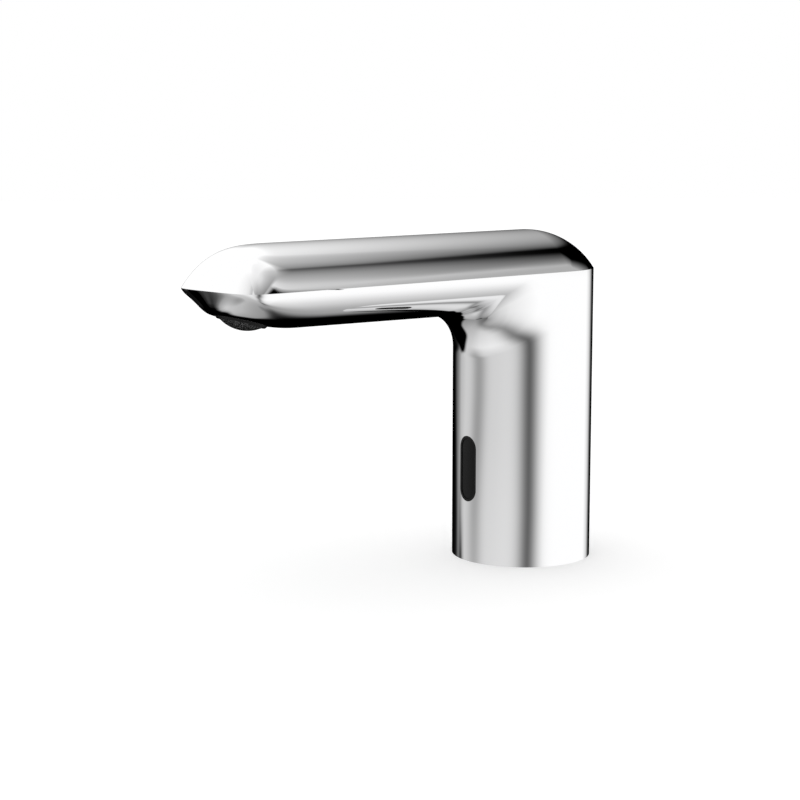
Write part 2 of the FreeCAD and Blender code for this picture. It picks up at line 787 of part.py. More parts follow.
# ------------------------------------------------------------------------------------- base
def make_deck_gasket():
    disc = cylinder("gasket_disc", cavity_radius - 3 * gap, size("gasket_thickness"))
    holes = [cylinder("gasket_stud_hole_%d" % index, size("stud_radius") + 0.6,
                      size("gasket_thickness") + 2, (sign * size("stud_x"), -size("stud_y"), -1))
             for index, sign in enumerate((-1, 1))]
    inlet = cylinder("gasket_inlet_hole", size("inlet_radius") + 1.2,
                     size("gasket_thickness") + 2, (0, valve_y, -1))
    return cut("deck_gasket", disc, holes + [inlet])


def make_base_insert():
    height = size("insert_thickness")
    disc = cylinder("insert_disc", cavity_radius - slip, height, (0, 0, insert_bottom))
    studs = [cylinder("stud_hole_%d" % index, size("stud_radius"), size("stud_depth") + 1,
                      (sign * size("stud_x"), -size("stud_y"), insert_bottom - 1))
             for index, sign in enumerate((-1, 1))]
    inlet = cylinder("inlet_hole", size("inlet_radius"), height + 2,
                     (0, valve_y, insert_bottom - 1))
    socket = cylinder("spigot_socket", size("spigot_radius") + slip, size("spigot_length") + 1,
                      (0, valve_y, valve_low))
    screws = [cylinder("insert_screw_hole_%d" % index, size("base_screw_radius") + slip,
                       height + 2, (x, y, insert_bottom - 1))
              for index, (x, y) in enumerate(lug_places)]
    heads = [cylinder("insert_head_hole_%d" % index, size("base_head_radius") + slip,
                      height - size("base_screw_grip") + 1, (x, y, insert_bottom - 1))
             for index, (x, y) in enumerate(lug_places)]
    return cut("base_insert", disc, studs + [inlet, socket] + screws + heads)


def make_base_screws():
    head_top = insert_top - size("base_screw_grip")
    head_height = size("base_head_height")
    screws = []
    for index, (x, y) in enumerate(lug_places):
        shank = cylinder("base_screw_shank_%d" % index, size("base_screw_radius"),
                         size("base_screw_grip") + size("base_screw_reach"), (x, y, head_top))
        head = cylinder("base_screw_head_%d" % index, size("base_head_radius"), head_height,
                        (x, y, head_top - head_height))
        key = cylinder("base_screw_key_%d" % index, size("base_key_radius"),
                       size("base_key_depth") + 1, (x, y, head_top - head_height - 1))
        screws.append(cut("base_screw_%d" % index,
                          fuse("base_screw_solid_%d" % index, [shank, head]), [key]))
    return group("base_screws", screws)


# ------------------------------------------------------------------------------ valve stack
strainer_low = valve_low + 1.2
check_low = strainer_low + size("strainer_length") + 1.0
check_high = check_low + size("check_length")
socket_top = port_height + 4.0
tube_foot = port_height - 0.8


def make_valve_body():
    bore = size("valve_bore")
    radius = size("valve_radius")
    barrel = cylinder("valve_barrel", radius, size("valve_top") - insert_top,
                      (0, valve_y, insert_top))
    spigot = cylinder("valve_spigot", size("spigot_radius"), size("spigot_length") + 1,
                      (0, valve_y, valve_low))
    arm = box("valve_arm", (-4.2, 4.2), (tube_y, valve_y),
              (port_height - 3.6, socket_top))
    socket = cylinder("valve_socket", size("tube_radius") + 2.2, 7.6,
                      (0, tube_y, port_height - 3.6))
    solid = fuse("valve_solid", [barrel, spigot, arm, socket])
    chamber = cylinder("valve_chamber", bore, check_high - valve_low + 1,
                       (0, valve_y, valve_low - 1))
    stem_room = cylinder("valve_stem_room", 2.0, size("check_lift") + 1, (0, valve_y, check_high - 1))
    riser = cylinder("valve_riser", 1.5, size("valve_top") - check_high,
                     (0, valve_y + 4.6, check_high - 0.5))
    groove = turned("valve_groove", [(size("seat_radius"), size("valve_top") - 2.6),
                                     (bore, size("valve_top") - 2.6),
                                     (bore, size("valve_top") + 1),
                                     (size("seat_radius"), size("valve_top") + 1)],
                    (0, valve_y, 0))
    seat_relief = cylinder("valve_seat_relief", size("seat_radius") + 1, 1 + 0.4,
                           (0, valve_y, size("valve_top") - 0.4))
    drop = cylinder("valve_drop", size("port_radius"), size("valve_top"),
                    (0, valve_y, port_height))
    port = cylinder("valve_port", size("port_radius"), size("tube_offset"),
                    (0, valve_y, port_height), ALONG_MINUS_Y)
    tube_seat = cylinder("valve_tube_seat", size("tube_radius") + slip, 10,
                         (0, tube_y, tube_foot - gap))
    ring_seat = cylinder("valve_ring_seat", size("tube_radius") + 2 * size("seal_radius") + slip,
                         4, (0, tube_y, socket_top - 1.5))
    return cut("valve_body", solid, [chamber, stem_room, riser, groove, seat_relief, drop, port, tube_seat,
                                     ring_seat])


def make_inlet_strainer():
    outer = size("valve_bore") - slip
    top = size("strainer_length")
    return turned("inlet_strainer", [(3.2, 0), (outer, 0), (outer, 1.4), (4.5, 1.4),
                                     (4.5, top), (0, top), (0, top - 0.6), (3.9, top - 0.6),
                                     (3.9, 1.0), (3.2, 1.0)], (0, valve_y, strainer_low))


def make_check_housing():
    outer = size("valve_bore") - slip
    length = size("check_length")
    cup = turned("check_cup", [(3.0, 0), (outer, 0), (outer, length), (1.4, length),
                               (1.4, length - 1.4), (4.9, length - 1.4), (4.9, 2.0),
                               (3.0, 2.0)])
    ports = [cylinder("check_port_%d" % index, 1.0, 4,
                      (3.6 * math.cos(math.radians(60 * index)),
                       3.6 * math.sin(math.radians(60 * index)), length - 3))
             for index in range(6)]
    return place(cut("check_housing", cup, ports), (0, valve_y, check_low))


def make_check_poppet():
    length = size("check_length")
    stem = 1.4 - fit
    return turned("check_poppet", [(0, 2.0), (4.1, 2.0), (4.1, 3.1), (stem, 3.1),
                                   (stem, length - 1.0), (0, length - 1.0)],
                  (0, valve_y, check_low))


def make_check_spring():
    foot = check_low + 3.1 + gap / 2
    length = size("check_length") - 1.4 - 3.1 - gap
    return spring("check_spring", 2.2, size("spring_wire"), length, 4.5,
                  (0, valve_y, foot + size("spring_wire")))


def make_diaphragm():
    top = size("diaphragm_thickness")
    hub = size("seat_radius") + 2 * gap
    return turned("diaphragm", [(hub, 0), (size("valve_radius") - 0.3, 0),
                                (size("valve_radius") - 0.3, top), (hub, top)],
                  (0, valve_y, size("valve_top")))


def make_diaphragm_poppet():
    bottom = -0.4 + gap / 2
    top = size("diaphragm_thickness") + size("poppet_stand")
    return turned("diaphragm_poppet", [(0, bottom), (size("seat_radius"), bottom),
                                       (size("seat_radius"), top), (0, top)],
                  (0, valve_y, size("valve_top")))


def make_armature_tube():
    inner = size("plunger_radius") + fit
    outer = inner + size("armature_wall")
    rim = size("valve_radius") - 0.3
    height = size("armature_height")
    room = size("seat_radius") + 3 * gap
    room_top = size("poppet_stand") + size("diaphragm_lift") + size("poppet_room")
    stop = size("plunger_length") + size("plunger_lift") + gap
    bore = 2.7
    return turned("armature_tube", [(room, 0), (rim, 0), (rim, 2.0), (outer, 2.0),
                                    (outer, height), (0, height), (0, height - 1.2),
                                    (bore, height - 1.2), (bore, stop), (inner, stop),
                                    (inner, room_top), (room, room_top)],
                  (0, valve_y, flange_low))


def make_plunger():
    radius = size("plunger_radius")
    length = size("plunger_length")
    foot = size("poppet_stand") + gap / 2
    return turned("plunger", [(0, foot), (2.0, foot), (2.0, 1.6), (radius, 1.8),
                              (radius, length), (1.4, length), (1.4, length - 2.5),
                              (0, length - 2.5)], (0, valve_y, flange_low))


def make_plunger_spring():
    foot = flange_low + size("plunger_length") + gap / 2
    length = size("armature_height") - 1.2 - size("plunger_length") - gap
    return spring("plunger_spring", 2.2, size("spring_wire"), length, 5.5,
                  (0, valve_y, foot + size("spring_wire")))


def make_bonnet_nut():
    inner = size("valve_radius") + slip
    throat = size("plunger_radius") + fit + size("armature_wall") + 0.3
    skirt = socket_top + gap - size("valve_top")
    seat = size("diaphragm_thickness") + 2.0
    return turned("bonnet_nut", [(inner, skirt), (size("nut_radius"), skirt),
                                 (size("nut_radius"), seat + 1.4), (throat, seat + 1.4),
                                 (throat, seat), (inner, seat)],
                  (0, valve_y, size("valve_top")))


coil_low = flange_high + 1.4


def make_coil_bobbin():
    inner = size("plunger_radius") + fit + size("armature_wall") + slip
    core = inner + 0.9
    outer = size("coil_radius")
    length = size("coil_length")
    return turned("coil_bobbin", [(inner, 0), (outer, 0), (outer, 1.2), (core, 1.2),
                                  (core, length - 1.2), (outer, length - 1.2),
                                  (outer, length), (inner, length)], (0, valve_y, coil_low))


def make_coil_winding():
    core = size("plunger_radius") + fit + size("armature_wall") + slip + 0.9 + gap
    outer = size("coil_radius") - 0.6
    length = size("coil_length")
    return turned("coil_winding", [(core, 1.2 + gap / 2), (outer, 1.2 + gap / 2),
                                   (outer, length - 1.2 - gap / 2),
                                   (core, length - 1.2 - gap / 2)], (0, valve_y, coil_low))


def make_coil_clip():
    inner = size("plunger_radius") + fit + size("armature_wall") + fit
    bottom = coil_low + size("coil_length")
    outer, high = size("clip_radius"), size("clip_thickness")
    return turned("coil_clip", [(inner, 0), (outer, 0), (outer, high), (inner, high)],
                  (0, valve_y, bottom))


# ------------------------------------------------------------------------------- water tube
def tube_solid(name, radius, overrun):
    """Up from the valve, round the bend and forward to the outlet."""
    bend = size("tube_bend")
    y = tube_y
    bend_z = tube_z - bend
    upright = cylinder(name + "_upright", radius, bend_z - tube_foot + overrun,
                       (0, y, tube_foot - overrun))
    elbow = doc.addObject("Part::Torus", name + "_elbow")
    bind(elbow, "Radius1", bend)
    bind(elbow, "Radius2", radius)
    elbow.Angle3 = 90
    quarter = Rotation(Vector(0, 1, 0), Vector(0, 0, 1), Vector(1, 0, 0), "XYZ")
    place(elbow, (0, y - bend, bend_z), quarter)
    forward = cylinder(name + "_forward", radius, tube_end - bend + y + overrun,
                       (0, y - bend, tube_z), ALONG_MINUS_Y)
    return fuse(name, [upright, elbow, forward])


def make_water_tube():
    return cut("water_tube", tube_solid("tube_outside", size("tube_radius"), 0),
               [tube_solid("tube_inside", size("tube_bore"), 1)])


def make_tube_seals():
    ring = size("tube_radius") + size("seal_radius") + slip / 2
    wire = size("seal_radius")
    front = torus("seal_front", ring, wire,
                  (0, -spout_end - 2 * wire, tube_z), ALONG_Y)
    low = torus("seal_low", ring, wire, (0, tube_y, socket_top - 1.5 + wire + gap / 2))
    return group("tube_seals", [front, low])


# ---------------------------------------------------------------------------------- outlet
aerator_face = size("outlet_recess_radius") - size("aerator_clearance")
aerator_bore = aerator_face - size("aerator_edge") - size("aerator_rim")
aerator_shelf = size("aerator_length") - size("regulator_height")


def make_aerator_housing():
    """Local z points into the casting, z = 0 is the plane of the recess."""
    thread = size("outlet_thread_radius") - slip
    flange_top = size("outlet_recess_depth") - gap
    length = size("aerator_length")
    out = -size("aerator_stand_out")
    under_ledge = aerator_shelf - size("ledge_thickness")
    seat, ledge = size("aerator_seat"), size("aerator_ledge")
    return turned("aerator_housing",
                  [(aerator_bore, out), (aerator_face - size("aerator_edge"), out),
                   (aerator_face, 0), (aerator_face, flange_top), (thread, flange_top),
                   (thread, length), (seat, length), (seat, aerator_shelf),
                   (ledge, aerator_shelf), (ledge, under_ledge), (aerator_bore, under_ledge)],
                  outlet_base, tilt=outlet_tilt)


def grid_holes():
    """A hexagonal raster of places inside the round face."""
    pitch = size("grid_pitch").value
    limit = aerator_bore.value - size("grid_margin").value - size("grid_hole_radius").value
    rings = int(limit / pitch) + 1
    places = []
    for row in range(-rings, rings + 1):
        for column in range(-rings, rings + 1):
            x = pitch * (column + 0.5 * (row % 2))
            y = pitch * row * math.sqrt(3) / 2
            if math.hypot(x, y) <= limit:
                places.append((x, y))
    return places


def make_aerator_grid():
    """The domed face that the water leaves by, with its raster of holes."""
    bulge = size("grid_bulge")
    rim = aerator_bore - fit
    thickness = size("grid_thickness")
    ball_radius = (rim * rim + bulge * bulge) / (2 * bulge)
    ball = doc.addObject("Part::Sphere", "grid_ball")
    bind(ball, "Radius", ball_radius)
    place(ball, (0, 0, ball_radius - bulge - size("aerator_stand_out")))
    drum = cylinder("grid_drum", rim, bulge + thickness,
                    (0, 0, -bulge - size("aerator_stand_out")))
    cap = common("grid_cap", ball, drum)
    holes = [cylinder("grid_hole_%d" % index, size("grid_hole_radius"), bulge + thickness + 2,
                      (x, y, -bulge - size("aerator_stand_out") - 1))
             for index, (x, y) in enumerate(grid_holes())]
    return place(cut("aerator_grid", cap, holes), outlet_base, tilt=outlet_tilt)


def make_flow_regulator():
    shelf = aerator_shelf
    outer = size("aerator_seat") - gap
    disc = cylinder("regulator_disc", outer, 2.4, (0, 0, shelf))
    hub = cone("regulator_hub", 3.0, 1.2, 1.6, (0, 0, shelf + 2.4))
    holes = [cylinder("regulator_hole_%d" % index, 0.7, 5,
                      (4.6 * math.cos(math.radians(45 * index)),
                       4.6 * math.sin(math.radians(45 * index)), shelf - 1))
             for index in range(8)]
    return place(cut("flow_regulator", fuse("regulator_solid", [disc, hub]), holes),
                 outlet_base, tilt=outlet_tilt)


def make_aerator_washer():
    low = size("aerator_length") + gap / 2
    high = size("outlet_thread_depth") - gap / 2
    outer = size("outlet_thread_radius") - gap
    return turned("aerator_washer", [(size("plenum_radius"), low), (outer, low),
                                     (outer, high), (size("plenum_radius"), high)],
                  outlet_base, tilt=outlet_tilt)


# ------------------------------------------------------------------------------- all pieces
eye_low, eye_high = eye_places()
nodes = [
    make_body_casting(),
    make_sensor_housing(),
    make_sensor_window(),
    make_sensor_gasket(),
    make_eye("ir_emitter", eye_high),
    make_eye("ir_receiver", eye_low),
    make_sensor_board(),
    make_board_screws(),
    make_board_part("control_chip", size("chip_half_width"),
                    (-size("chip_low"), size("chip_high")), size("chip_thickness")),
    make_board_part("board_connector", size("connector_half_width"),
                    (-size("connector_low"), size("connector_height") - size("connector_low")),
                    size("connector_thickness")),
    make_inner_bracket(),
    make_bracket_screws(),
    make_battery_holder(),
    make_cell("battery_left", -1),
    make_cell("battery_right", 1),
    make_battery_contacts(),
    make_deck_gasket(),
    make_base_insert(),
    make_base_screws(),
    make_valve_body(),
    make_inlet_strainer(),
    make_check_housing(),
    make_check_poppet(),
    make_check_spring(),
    make_diaphragm(),
    make_diaphragm_poppet(),
    make_armature_tube(),
    make_plunger(),
    make_plunger_spring(),
    make_bonnet_nut(),
    make_coil_bobbin(),
    make_coil_winding(),
    make_coil_clip(),
    make_water_tube(),
    make_tube_seals(),
    make_aerator_housing(),
    make_aerator_grid(),
    make_flow_regulator(),
    make_aerator_washer(),
]
doc.recompute()

faults = ["%s is %s" % (obj.Name, state) for obj in doc.Objects for state in obj.State
          if state in ("Invalid", "Error")]
for node in nodes:
    if node.Shape.isNull() or not node.Shape.isValid() or not node.Shape.Solids:
        faults.append("%s has no valid solid" % node.Name)
if faults:
    raise RuntimeError("; ".join(faults))

os.makedirs("parts", exist_ok=True)
for node in nodes:
    node.Label = node.Name
    node.Shape.exportStep(os.path.join("parts", node.Label + ".step"))
    print("%-18s %2d solids %9.1f mm3" % (node.Label, len(node.Shape.Solids), node.Shape.Volume))
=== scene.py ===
"""Chrome sensor tap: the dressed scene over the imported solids.

The casting's skin is drawn again here with its soft blends, every piece gets its material, and
a plain pale studio with reflection cards goes round the tap.  Lengths in the shape formulas are
millimetres, as in the part's source: +Z is up, -Y is forward along the spout.
"""

import json
import math

import bmesh
import bpy
import numpy as np
from mathutils import Matrix, Vector


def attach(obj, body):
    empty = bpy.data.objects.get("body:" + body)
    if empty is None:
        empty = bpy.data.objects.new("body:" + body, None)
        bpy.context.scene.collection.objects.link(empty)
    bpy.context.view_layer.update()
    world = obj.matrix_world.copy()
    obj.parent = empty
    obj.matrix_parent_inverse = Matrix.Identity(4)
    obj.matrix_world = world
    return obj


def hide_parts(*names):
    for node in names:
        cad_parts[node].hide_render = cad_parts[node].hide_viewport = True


MM = 0.001

# ------------------------------------------------------------------------- sizes of the casting
RADIUS = 26.0                   # column and half the spout
CREASE_HEIGHT = 107.3           # at the column's axis
CREASE_FALL = math.tan(math.radians(1.47))
DOME_RISE = 14.6
BELLY_DEPTH = 15.3              # belly under the crease, at the column's axis
BELLY_FALL = math.tan(math.radians(0.74))
REACH = 133.2                   # foremost point ahead of the column's axis
NOSE_LENGTH = 33.0
NOSE_POWER = 6.0                # fullness of the nose from the side
CORNER_POWER = 1.7              # fullness of its corners in plan
LIP_DROP = 9.5                  # lip under the crease
LIP_SETBACK = 2.5               # lip behind the foremost point, 1 more than the solid has
LIP_LENGTH = 45.0               # round front of the lip's plan
INNER_FILLET = 16.0
SHOULDER = 0.3                  # of the belly's side under the crease
ARCH = (RADIUS ** 2 + DOME_RISE ** 2) / (2 * DOME_RISE)     # radius of the dome's section
NOSE_START = NOSE_LENGTH - REACH
BELLY_END = -92.0               # where the nose's underside begins

FACE_BOW = 0.5                  # bulge of the face under the crease, more towards the sides
SIDE_BOW = 1.7                  # bulge that is added close to the sides
SIDE_BOW_POWER = 6              # and how close
FACE_EXTENT = 2.0               # how far that face is carried down, in drops of the lip
FACE_BLEND = 3.0                # softness of the edge between the face and the belly
FLAT_BLEND = 2.2                # softness of the edge round the outlet's flat

OUTLET_Y = -121.0
OUTLET_Z = 93.6
OUTLET_TILT = math.radians(15.3)
RECESS_RADIUS = 9.05
RECESS_DEPTH = 2.0
THREAD_RADIUS = 8.2
THREAD_DEPTH = 10.5
PLENUM_RADIUS = 6.0
PLENUM_DEPTH = 13.0
CAVITY_RADIUS = 22.6
CAVITY_HEIGHT = 108.5
WINDOW_Z = 34.6
WINDOW_HALF_WIDTH = 4.6
WINDOW_HALF_LENGTH = 12.2
WINDOW_INNER_Y = -18.6
CUT_START_Y = -30.0             # the window's cut starts ahead of the column
HOLLOW_ROOM = 5.0               # length of the hollow's cutter outside the casting
RECESS_ROOM = 8.0               # and of the outlet's

# ----------------------------------------------------------------------- fineness of the meshes
COLUMN_ROWS, FILLET_ROWS, BELLY_ROWS, NOSE_ROWS = 24, 22, 34, 60
NOSE_GATHER = 1.6               # rows crowd towards the tip
FRONT_LINES, CORNER_LINES = 48, 33
CORNER_ANGLE = 82               # degrees round the column where the corner lines begin
CORNER_SAMPLES = 4001
FACE_ANGLES, FACE_ROWS = 61, 81
BACK_STEPS = 96                 # an even number
DOME_ROWS = 56
DOME_GATHER = 1.5               # rows crowd towards the crease
TURNED_STEPS = 128
SLOT_POINTS = 25
SHARP_ANGLE = 24                # degrees
WELD = 0.0004                   # points closer than this are one
THIN = 0.1                      # share of the weld distance under which an edge is dropped


def mix(first, second, share):
    return first * (1 - share) + second * share


def smooth_max(first, second, softness):
    """The larger of the two, with a soft change-over."""
    share = np.clip(0.5 + 0.5 * (first - second) / softness, 0, 1)
    return second + (first - second) * share + softness * share * (1 - share)


def crease(y):
    return CREASE_HEIGHT + CREASE_FALL * y


def side_share(offset):
    """0 on the ridge, 1 at the crease."""
    inside = np.minimum(np.abs(offset), RADIUS)
    return 1 - (np.sqrt(ARCH ** 2 - inside ** 2) - (ARCH - DOME_RISE)) / DOME_RISE


def front_y(x):
    """The crease's front edge in plan."""
    share = np.maximum(0.0, 1 - side_share(x) ** CORNER_POWER) ** (1 / CORNER_POWER)
    return NOSE_START - NOSE_LENGTH * share ** (1 / NOSE_POWER)


def top_z(x, y):
    """Height of the dome, the ridge and the nose's top."""
    rear = side_share(np.hypot(x, y))
    along = np.maximum(0.0, (NOSE_START - y) / NOSE_LENGTH)
    fore = (side_share(x) ** CORNER_POWER
            + along ** (NOSE_POWER * CORNER_POWER)) ** (1 / CORNER_POWER)
    return crease(y) + DOME_RISE * (1 - np.minimum(np.where(y > 0, rear, fore), 1.0))


def face_levels():
    """Plan outlines of the face under the crease, from the crease down past the lip.

    Each is a drop, in drops of the lip, and the x and y of its points from the middle out."""
    angle = np.linspace(0, math.pi / 2, FACE_ANGLES)
    side = np.cos(angle) ** (2 / CORNER_POWER)
    front = np.sin(angle) ** (2 / CORNER_POWER)
    top_x = np.sqrt(np.maximum(ARCH ** 2 - (ARCH - DOME_RISE * side) ** 2, 0))
    top_y = NOSE_START - NOSE_LENGTH * front ** (1 / NOSE_POWER)
    lip_x = RADIUS * np.cos(angle)
    lip_y = LIP_LENGTH - REACH + LIP_SETBACK - LIP_LENGTH * np.sin(angle)
    bow = 1 + FACE_BOW * np.cos(angle) + SIDE_BOW * np.cos(angle) ** SIDE_BOW_POWER
    levels = []
    for drop in np.linspace(0, FACE_EXTENT, FACE_ROWS):
        share = drop ** bow
        levels.append((drop, mix(top_x, lip_x, share)[::-1], mix(top_y, lip_y, share)[::-1]))
    return levels


FACE = face_levels()
FACE_DROPS = np.array([drop for drop, _, _ in FACE])


def face_z(x, y):
    """Height of the face under the crease at points that share one x."""
    plan = np.array([np.interp(x, xs, ys) for _, xs, ys in FACE])
    return crease(y) - LIP_DROP * np.interp(y, plan, FACE_DROPS)


def underside_line(x):
    """Points up the column, round the inner fillet and along the underside, at one x."""
    across = math.sqrt(max(0.0, 1 - (x / RADIUS) ** 2))
    column_y = -RADIUS * across
    slope = CREASE_FALL - (CREASE_FALL - BELLY_FALL) * across
    start = CREASE_HEIGHT - SHOULDER - (BELLY_DEPTH - SHOULDER) * across
    centre_y = column_y - INNER_FILLET
    centre_z = start + slope * centre_y - INNER_FILLET * math.sqrt(1 + slope ** 2)
    column_z = np.linspace(0, centre_z, COLUMN_ROWS + 1)[:-1]
    turn = np.linspace(0, math.pi / 2 + math.atan(slope), FILLET_ROWS + 1)
    arc_y = centre_y + INNER_FILLET * np.cos(turn)
    arc_z = centre_z + INNER_FILLET * np.sin(turn)
    belly_y = np.linspace(arc_y[-1], BELLY_END, BELLY_ROWS + 1)[1:]
    tip_y = float(front_y(np.array(x)))
    step = np.linspace(0, 1, NOSE_ROWS + 1)[1:]
    nose_y = BELLY_END + (tip_y - BELLY_END) * (1 - (1 - step) ** NOSE_GATHER)
    flat = OUTLET_Z - math.tan(OUTLET_TILT) * (nose_y - OUTLET_Y)
    nose_z = smooth_max(start + slope * nose_y, face_z(x, nose_y), FACE_BLEND)
    nose_z = smooth_max(nose_z, flat, FLAT_BLEND)
    nose_z = np.minimum(nose_z, crease(nose_y))
    nose_z[-1] = crease(tip_y)
    ys = np.concatenate([np.full(COLUMN_ROWS, column_y), arc_y, belly_y, nose_y])
    zs = np.concatenate([column_z, arc_z, start + slope * belly_y, nose_z])
    return np.column_stack([np.full_like(ys, x), ys, zs])


def line_places():
    """x of those lines: even round the column, then even along the crease round the corner."""
    even = RADIUS * np.sin(np.radians(np.linspace(0, CORNER_ANGLE, FRONT_LINES)))
    dense = RADIUS * np.sin(np.radians(np.linspace(CORNER_ANGLE, 90, CORNER_SAMPLES)))
    path = np.hypot(np.diff(dense), np.diff(front_y(dense)))
    length = np.concatenate([[0], np.cumsum(path)])
    corner = np.interp(np.linspace(0, length[-1], CORNER_LINES + 1)[1:], length, dense)
    corner[-1] = RADIUS
    return np.concatenate([even, corner])


class MeshData:
    """Vertices and faces gathered patch by patch."""

    def __init__(self):
        self.points, self.faces = [], []

    def grid(self, points):
        rows, columns = points.shape[:2]
        base = len(self.points)
        self.points += [tuple(p) for p in points.reshape(-1, 3)]
        for i in range(rows - 1):
            for j in range(columns - 1):
                a = base + i * columns + j
                self.faces.append((a, a + columns, a + columns + 1, a + 1))

    def polygon(self, points):
        base = len(self.points)
        self.points += [tuple(p) for p in points]
        self.faces.append(tuple(range(base, base + len(points))))

    def object(self, name):
        """One welded mesh object, in metres, with its faces turned outwards."""
        mesh = bpy.data.meshes.new(name)
        mesh.from_pydata([(x * MM, y * MM, z * MM) for x, y, z in self.points], [], self.faces)
        work = bmesh.new()
        work.from_mesh(mesh)
        bmesh.ops.remove_doubles(work, verts=work.verts, dist=WELD * MM)
        bmesh.ops.dissolve_degenerate(work, dist=WELD * MM * THIN, edges=work.edges)
        bmesh.ops.recalc_face_normals(work, faces=work.faces)
        work.to_mesh(mesh)
        work.free()
        obj = bpy.data.objects.new(name, mesh)
        bpy.context.collection.objects.link(obj)
        return obj


def add_sides(data, edge):
    """Flat sides between the underside's edge and the crease."""
    crease_line = edge.copy()
    crease_line[:, 2] = crease(crease_line[:, 1])
    for sign in (1, -1):
        data.grid(np.stack([edge, crease_line], 1) * np.array([sign, 1.0, 1.0]))


def back_arc():
    """Plan of the column's round back, from side to side."""
    angles = np.radians(np.linspace(0, 180, BACK_STEPS + 1))
    arc = np.stack([RADIUS * np.cos(angles), RADIUS * np.sin(angles)], 1)
    arc[0], arc[-1] = (RADIUS, 0), (-RADIUS, 0)
    return arc


def add_back(data, arc, heights):
    """The round back, with rows at these heights and a last one on the crease."""
    rows = [np.column_stack([arc, np.full(len(arc), z)]) for z in heights]
    rows.append(np.column_stack([arc, crease(arc[:, 1])]))
    data.grid(np.array(rows))


def add_dome(data, outline):
    """The top, in rays from the spine out to one half of the crease, and its mirror image."""
    spine = np.zeros_like(outline)
    spine[:, 1] = np.clip(outline[:, 1], NOSE_START, 0)
    rays = 1 - (1 - np.linspace(0, 1, DOME_ROWS + 1)) ** DOME_GATHER
    plan = spine[:, None] + rays[None, :, None] * (outline - spine)[:, None]
    z = top_z(plan[..., 0], plan[..., 1])
    z[:, -1] = crease(outline[:, 1])
    for sign in (1, -1):
        data.grid(np.concatenate([plan * np.array([sign, 1.0]), z[..., None]], 2))


def casting_mesh():
    """The casting's outer skin as one closed mesh."""
    data = MeshData()
    half = np.array([underside_line(x) for x in line_places()])
    mirror = half[1:][::-1] * np.array([-1.0, 1.0, 1.0])
    data.grid(np.concatenate([mirror, half]))
    side_line = half[-1]
    add_sides(data, side_line[COLUMN_ROWS:])
    back = back_arc()
    add_back(data, back, side_line[:COLUMN_ROWS + 1, 2])
    front_edge = half[:, -1, :2]
    side_edge = side_line[COLUMN_ROWS:-1, :2][::-1]
    back_edge = back[1:BACK_STEPS // 2 + 1]
    add_dome(data, np.concatenate([front_edge, side_edge, back_edge]))
    foot_back = [(x, y, 0.0) for x, y in back]
    data.polygon(foot_back + list(mirror[1:, 0]) + list(half[:-1, 0]))
    return data.object("casting")


# ------------------------------------------------------------------------------------- cutters
def turned(name, profile):
    """A surface of revolution about Z from (radius, height) points that start and end on Z."""
    data = MeshData()
    angles = np.linspace(0, 2 * math.pi, TURNED_STEPS + 1)
    data.grid(np.array([[(r * math.cos(a), r * math.sin(a), z) for a in angles]
                        for r, z in profile]))
    return data.object(name)


def slot_solid(name, half_width, half_length, y_range, centre_z):
    """A slot with round ends that runs along Y."""
    data = MeshData()
    straight = half_length - half_width
    turn = np.radians(np.linspace(0, 180, SLOT_POINTS))
    ring = [(sign * half_width * math.cos(a),
             centre_z + sign * (straight + half_width * math.sin(a)))
            for sign in (1, -1) for a in turn]
    data.grid(np.array([[(x, y, z) for x, z in ring + ring[:1]] for y in y_range]))
    for y in y_range:
        data.polygon([(x, y, z) for x, z in ring])
    return data.object(name)


def carve(obj, cutters):
    """Boolean difference with plain solids, applied to the mesh."""
    for cutter in cutters:
        step = obj.modifiers.new("cut", "BOOLEAN")
        step.operation, step.solver, step.object = "DIFFERENCE", "EXACT", cutter
        graph = bpy.context.evaluated_depsgraph_get()
        mesh = bpy.data.meshes.new_from_object(obj.evaluated_get(graph))
        obj.modifiers.clear()
        obj.data = mesh
        bpy.data.objects.remove(cutter)


def column_hollow():
    return turned("hollow", [(0, -HOLLOW_ROOM), (CAVITY_RADIUS, -HOLLOW_ROOM),
                             (CAVITY_RADIUS, CAVITY_HEIGHT), (0, CAVITY_HEIGHT)])


def outlet_recess():
    recess = turned("recess", [(0, -RECESS_ROOM), (RECESS_RADIUS, -RECESS_ROOM),
                               (RECESS_RADIUS, RECESS_DEPTH), (THREAD_RADIUS, RECESS_DEPTH),
                               (THREAD_RADIUS, THREAD_DEPTH), (PLENUM_RADIUS, THREAD_DEPTH),
                               (PLENUM_RADIUS, PLENUM_DEPTH), (0, PLENUM_DEPTH)])
    recess.data.transform(Matrix.Translation(Vector((0, OUTLET_Y, OUTLET_Z)) * MM)
                          @ Matrix.Rotation(-OUTLET_TILT, 4, "X"))
    return recess


# ----------------------------------------------------------------------------------- materials
def material(name, colour, metallic=0.0, roughness=0.4, coat=0.0, ior=1.5, noise=None):
    made = bpy.data.materials.new(name)
    made.use_nodes = True
    shader = made.node_tree.nodes["Principled BSDF"]
    shader.inputs["Base Color"].default_value = (*colour, 1)
    shader.inputs["Metallic"].default_value = metallic
    shader.inputs["Roughness"].default_value = roughness
    shader.inputs["IOR"].default_value = ior
    shader.inputs["Coat Weight"].default_value = coat
    if noise:
        add_noise(made, *noise)
    return made


